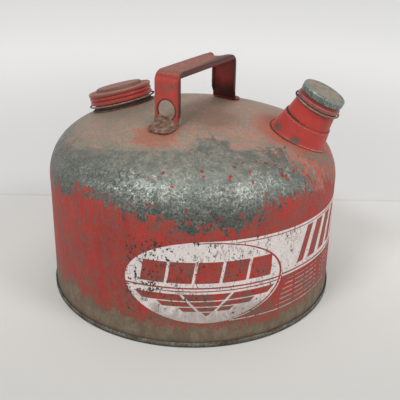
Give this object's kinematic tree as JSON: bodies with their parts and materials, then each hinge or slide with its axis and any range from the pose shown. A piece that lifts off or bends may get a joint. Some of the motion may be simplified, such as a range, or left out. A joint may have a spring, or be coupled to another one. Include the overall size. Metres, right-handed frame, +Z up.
{
  "type": "gas can",
  "caption": "Round pressed-steel gas can with a domed top, bridge handle, wide screw-capped filler and angled screw-capped pouring spout.",
  "frame": {"origin": "centre of the base, on the plane it rests on", "axes": "+Z up the tank's axis, +X towards the pouring spout, the filler on the -X side"},
  "size_m": [0.289, 0.289, 0.2265],
  "materials": {
    "tank_paint": "worn red paint over spangled zinc, dusty crown, bare zinc shoulder",
    "tank_base": "dirty zinc with dark rolled edge",
    "handle_paint": "red paint, worn pale on the grip, rusty at the feet",
    "solder": "rough grey-brown solder with rust",
    "neck_zinc": "dull zinc",
    "wire": "blackened steel wire",
    "cork": "dry cork",
    "tin": "bright tinplate",
    "filler_cap_paint": "worn red paint, beige worn top, bare lip",
    "spout_paint": "chipped red paint",
    "spout_cap_paint": "red skirt, zinc rim, pale worn top"
  },
  "bodies": {
    "tank": {"body_shell": "tank_paint", "bottom_pan": "tank_base", "handle_strap": "handle_paint", "front_foot_solder": "solder", "rear_foot_solder": "solder", "filler_neck": "neck_zinc", "filler_neck_solder": "solder", "filler_wire_ring": "wire", "spout_base": "spout_paint", "spout_base_solder": "solder", "spout_throat": "spout_paint", "spout_wire_ring": "wire"},
    "filler_cap_seal": {"filler_cap_gasket": "cork", "filler_cap_liner": "tin"},
    "filler_cap": {"filler_cap_shell": "filler_cap_paint"},
    "spout_cap_seal": {"spout_cap_gasket": "cork", "spout_cap_liner": "tin"},
    "spout_cap": {"spout_cap_shell": "spout_cap_paint"}
  },
  "joints": [
    {"name": "filler_cap_rise", "type": "slide", "parent": "tank", "child": "filler_cap_seal", "axis": [-0.2623, 0.0591, 0.9632], "range_m": [0, 0.0361]},
    {"name": "filler_cap_turn", "type": "hinge", "parent": "filler_cap_seal", "child": "filler_cap", "pos_m": [-0.08214, 0.01851, 0.1706], "axis": [-0.2623, 0.0591, 0.9632], "range_deg": [0, 2160]},
    {"name": "spout_cap_rise", "type": "slide", "parent": "tank", "child": "spout_cap_seal", "axis": [0.4337, 0, 0.9011], "range_m": [0, 0.0361]},
    {"name": "spout_cap_turn", "type": "hinge", "parent": "spout_cap_seal", "child": "spout_cap", "pos_m": [0.105, 0, 0.164], "axis": [0.4337, 0, 0.9011], "range_deg": [0, 2160]}
  ],
  "couplings": [
    {"joint": "filler_cap_rise", "follows": "filler_cap_turn", "m_per_rad": 0.00095493},
    {"joint": "spout_cap_rise", "follows": "spout_cap_turn", "m_per_rad": 0.00095493}
  ]
}
